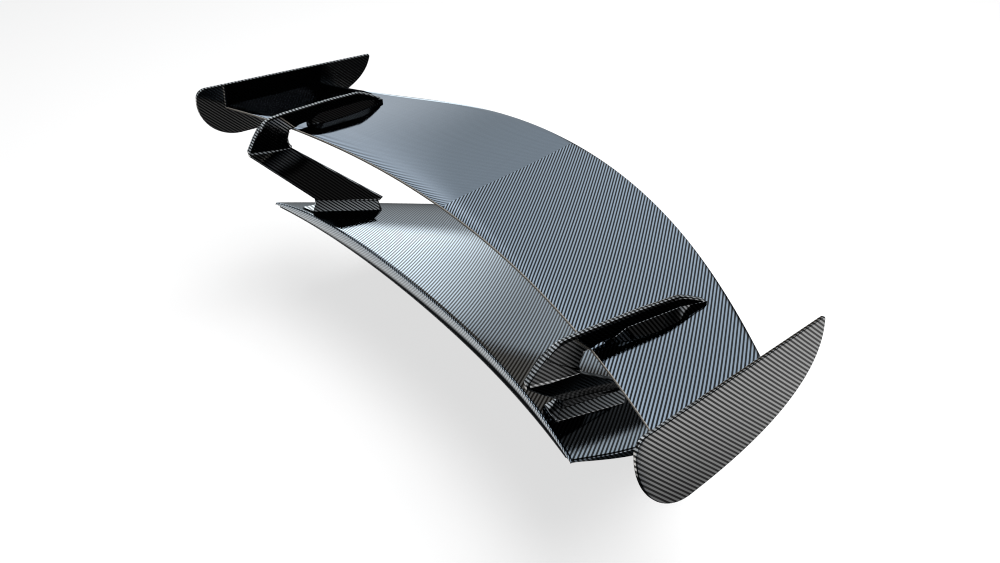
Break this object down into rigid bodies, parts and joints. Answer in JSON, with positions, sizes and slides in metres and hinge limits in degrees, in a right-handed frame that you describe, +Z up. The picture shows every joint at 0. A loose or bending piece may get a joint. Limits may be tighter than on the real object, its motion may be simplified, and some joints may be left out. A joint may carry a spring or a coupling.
{
  "type": "racing rear wing",
  "caption": "Swept single-element rear wing held from above by swan-neck arms, with canted endplates, on a crowned deck panel that bolts down with studs.",
  "frame": {"origin": "midway between the two front studs, in their free length, 4 mm below their nuts", "axes": "+X to the car's right, +Y rearward, +Z up; X=0 is the car's centre plane"},
  "size_m": [1.3282, 0.5135, 0.451],
  "materials": {
    "carbon_blade": "clear-coated carbon twill laid in two mirrored halves",
    "carbon_plate": "clear-coated carbon twill on a flat plate",
    "carbon_neck": "clear-coated carbon twill",
    "carbon_deck": "clear-coated carbon twill laid across a curved panel",
    "bond_bead": "cured structural adhesive, satin beige",
    "glass_laminate": "plain black laminate, matt",
    "foam": "rigid foam, matt",
    "alloy": "machined, satin",
    "steel": "bright zinc plated",
    "seal": "closed-cell rubber, matt"
  },
  "bodies": {
    "root": {"blade_upper_skin": "carbon_blade", "blade_lower_skin": "carbon_blade", "leading_edge_seam": "bond_bead", "front_spar": "glass_laminate", "rear_spar": "glass_laminate", "centre_rib": "foam", "end_rib_left": "foam", "end_rib_right": "foam", "neck_plate_left": "alloy", "neck_plate_right": "alloy", "endplate_left": "carbon_plate", "endplate_right": "carbon_plate", "endplate_dowels": "alloy", "neck_outer_shell_left": "carbon_neck", "neck_outer_shell_right": "carbon_neck", "neck_inner_shell_left": "carbon_neck", "neck_inner_shell_right": "carbon_neck", "neck_core_left": "alloy", "neck_core_right": "alloy", "neck_saddle_left": "carbon_neck", "neck_saddle_right": "carbon_neck", "neck_foot_left": "carbon_neck", "neck_foot_right": "carbon_neck", "neck_screws": "steel", "screw_washers": "steel", "deck_skin": "carbon_deck", "deck_liner": "glass_laminate", "deck_seal": "seal", "foot_gasket_left": "seal", "foot_gasket_right": "seal", "seat_block_left": "alloy", "seat_block_right": "alloy", "deck_studs": "steel", "bevel_washers": "steel", "flat_washers": "steel", "jam_nuts": "steel"}
  },
  "joints": []
}
